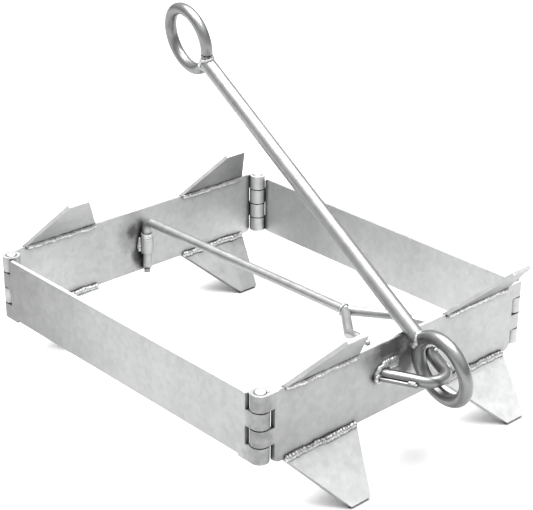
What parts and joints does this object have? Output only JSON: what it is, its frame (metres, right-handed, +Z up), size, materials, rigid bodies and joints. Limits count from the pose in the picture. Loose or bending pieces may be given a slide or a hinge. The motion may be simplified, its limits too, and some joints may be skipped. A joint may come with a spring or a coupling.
{
  "type": "folding box grapnel anchor",
  "caption": "Folding box-frame grapnel anchor: hinged steel plates with leaning flukes above and below, a forked lock bar, and a ringed shank swinging on a welded bail.",
  "frame": {"origin": "centre of the anchor's bounding box at the level of the lower fluke tips it stands on", "axes": "-Y is forward, the direction of pull, where the bail is; +Y is to the rear, where the lock bar turns; +X is to the right of someone standing in front and looking along +Y; +Z is up"},
  "size_m": [0.4422, 0.59, 0.4533],
  "materials": {
    "galvanised_plate": "hot-dip galvanised, matt, faint spangle",
    "galvanised_fluke": "hot-dip galvanised, matt, bright cut edges",
    "galvanised_bar": "hot-dip galvanised round bar, satin",
    "zinc_plated_pin": "zinc-coated steel, satin"
  },
  "bodies": {
    "rear_frame": {"rear_plate": "galvanised_plate", "rear_left_upper_fluke": "galvanised_fluke", "rear_right_upper_fluke": "galvanised_fluke", "rear_left_lower_fluke": "galvanised_fluke", "rear_right_lower_fluke": "galvanised_fluke", "rear_left_hinge_pin": "zinc_plated_pin", "rear_right_hinge_pin": "zinc_plated_pin", "lock_tube": "galvanised_bar"},
    "left_side": {"left_side_plate": "galvanised_plate"},
    "right_side": {"right_side_plate": "galvanised_plate"},
    "front_frame": {"front_plate": "galvanised_plate", "front_left_upper_fluke": "galvanised_fluke", "front_right_upper_fluke": "galvanised_fluke", "front_left_lower_fluke": "galvanised_fluke", "front_right_lower_fluke": "galvanised_fluke", "front_left_hinge_pin": "zinc_plated_pin", "front_right_hinge_pin": "zinc_plated_pin", "bail": "galvanised_bar", "left_bail_brace": "galvanised_bar", "right_bail_brace": "galvanised_bar"},
    "shank": {"shank": "galvanised_bar", "lower_ring": "galvanised_bar", "upper_ring": "galvanised_bar"},
    "lock_lift": {"lock_washer": "zinc_plated_pin"},
    "lock_bar": {"lock_bar_rod": "galvanised_bar", "lock_bar_collar": "zinc_plated_pin", "lock_bar_retainer": "galvanised_bar", "lock_bar_left_prong": "galvanised_bar", "lock_bar_right_prong": "galvanised_bar"}
  },
  "joints": [
    {"name": "frame_fold", "type": "hinge", "parent": "rear_frame", "child": "left_side", "pos_m": [-0.21, 0.28387, 0.1047], "axis": [0, 0, 1], "range_deg": [0, 75]},
    {"name": "right_rear_hinge", "type": "hinge", "parent": "rear_frame", "child": "right_side", "pos_m": [0.21, 0.28387, 0.1047], "axis": [0, 0, 1], "range_deg": [0, 75]},
    {"name": "left_front_hinge", "type": "hinge", "parent": "left_side", "child": "front_frame", "pos_m": [-0.21, -0.18113, 0.1047], "axis": [0, 0, 1], "range_deg": [-75, 0]},
    {"name": "lock_bar_lift", "type": "slide", "parent": "rear_frame", "child": "lock_lift", "axis": [0, 0, 1], "range_m": [0, 0.022]},
    {"name": "lock_bar_swing", "type": "hinge", "parent": "lock_lift", "child": "lock_bar", "pos_m": [0.005, 0.28167, 0.1], "axis": [0, 0, 1], "range_deg": [0, 75]},
    {"name": "shank_swing", "type": "hinge", "parent": "front_frame", "child": "shank", "pos_m": [0.005, -0.24723, 0.10967], "axis": [1, 0, 0], "range_deg": [0, 147]}
  ],
  "couplings": [
    {"joint": "right_rear_hinge", "follows": "frame_fold", "ratio": 1},
    {"joint": "left_front_hinge", "follows": "frame_fold", "ratio": -1},
    {"joint": "lock_bar_lift", "follows": "frame_fold", "m_per_rad": 0.016806},
    {"joint": "lock_bar_swing", "follows": "frame_fold", "ratio": 1}
  ]
}
